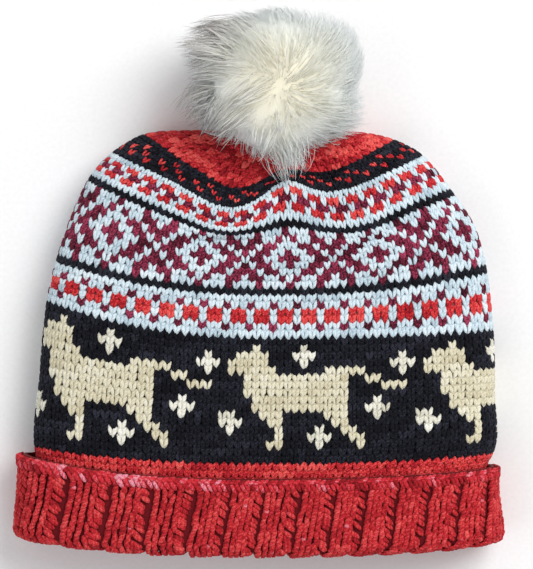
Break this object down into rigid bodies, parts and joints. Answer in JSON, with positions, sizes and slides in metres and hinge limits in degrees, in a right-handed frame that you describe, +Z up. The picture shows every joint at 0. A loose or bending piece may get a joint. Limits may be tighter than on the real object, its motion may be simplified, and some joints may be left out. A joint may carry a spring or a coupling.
{
  "type": "knitted pompom hat",
  "caption": "Close-fitting knitted winter hat with a folded ribbed cuff, a patterned body, a gathered crown and a faux-fur pompom.",
  "frame": {"origin": "on the ground plane, under the middle of the lying hat's box", "axes": "+Z up, out of the front of the hat as it lies on its back; +Y from the mouth towards the crown and its pompom; +X to the right seen from above"},
  "size_m": [0.2572, 0.288, 0.0831],
  "materials": {
    "stranded_wool": "soft matt wool, stranded colourwork",
    "rib_wool": "soft matt wool rib",
    "faux_fur": "long soft pile"
  },
  "bodies": {
    "root": {"knit_body": "stranded_wool", "ribbed_cuff": "rib_wool", "fur_pompom": "faux_fur"}
  },
  "joints": []
}
